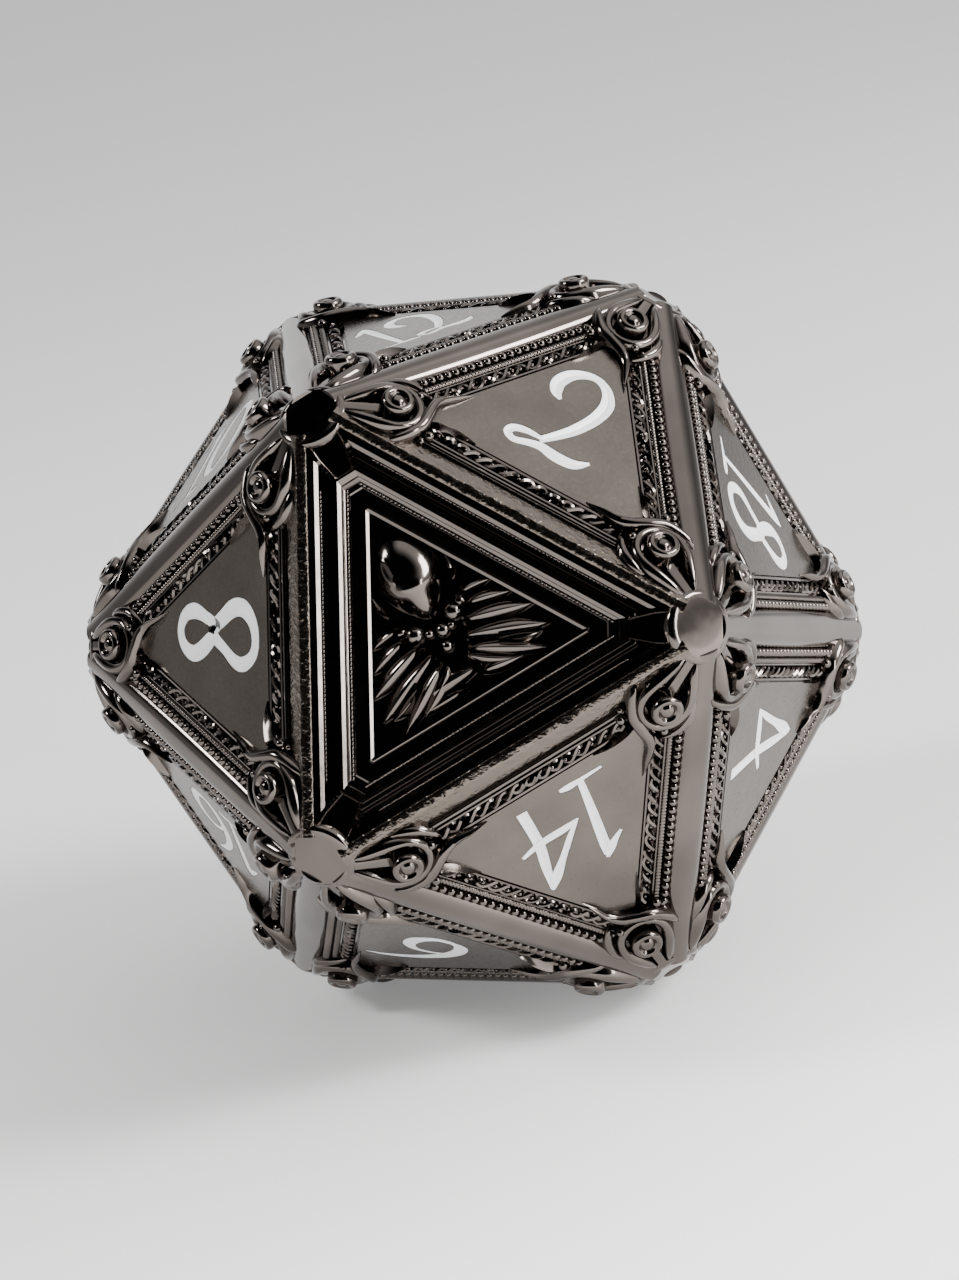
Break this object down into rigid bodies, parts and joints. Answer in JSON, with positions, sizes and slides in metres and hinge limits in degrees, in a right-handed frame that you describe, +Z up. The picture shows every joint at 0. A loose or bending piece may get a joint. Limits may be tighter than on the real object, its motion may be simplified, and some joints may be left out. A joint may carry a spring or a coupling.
{
  "type": "twenty-sided die",
  "caption": "Ornate cast metal twenty-sided die with framed faces, corner buttons, enamel-filled numerals and a deep sculpted relief on its highest face.",
  "frame": {"origin": "centre of the footprint, on the surface that the die stands on, with the 9 face down", "axes": "+Z up, out of the 12 face; the framed relief of the 20 face looks towards -Y and 19.5 degrees upwards; +X to the right of it"},
  "size_m": [0.052, 0.0499, 0.0465],
  "materials": {
    "black_nickel": "zinc casting plated with polished black nickel, satin on the plates",
    "white_enamel": "baked white enamel in the engraved digits"
  },
  "bodies": {
    "root": {"die_body": "black_nickel", "enamel_1": "white_enamel", "enamel_2": "white_enamel", "enamel_3": "white_enamel", "enamel_4": "white_enamel", "enamel_5": "white_enamel", "enamel_6": "white_enamel", "enamel_7": "white_enamel", "enamel_8": "white_enamel", "enamel_9": "white_enamel", "enamel_10_tens": "white_enamel", "enamel_10_units": "white_enamel", "enamel_11_tens": "white_enamel", "enamel_11_units": "white_enamel", "enamel_12_tens": "white_enamel", "enamel_12_units": "white_enamel", "enamel_13_tens": "white_enamel", "enamel_13_units": "white_enamel", "enamel_14_tens": "white_enamel", "enamel_14_units": "white_enamel", "enamel_15_tens": "white_enamel", "enamel_15_units": "white_enamel", "enamel_16_tens": "white_enamel", "enamel_16_units": "white_enamel", "enamel_17_tens": "white_enamel", "enamel_17_units": "white_enamel", "enamel_18_tens": "white_enamel", "enamel_18_units": "white_enamel", "enamel_19_tens": "white_enamel", "enamel_19_units": "white_enamel"}
  },
  "joints": []
}
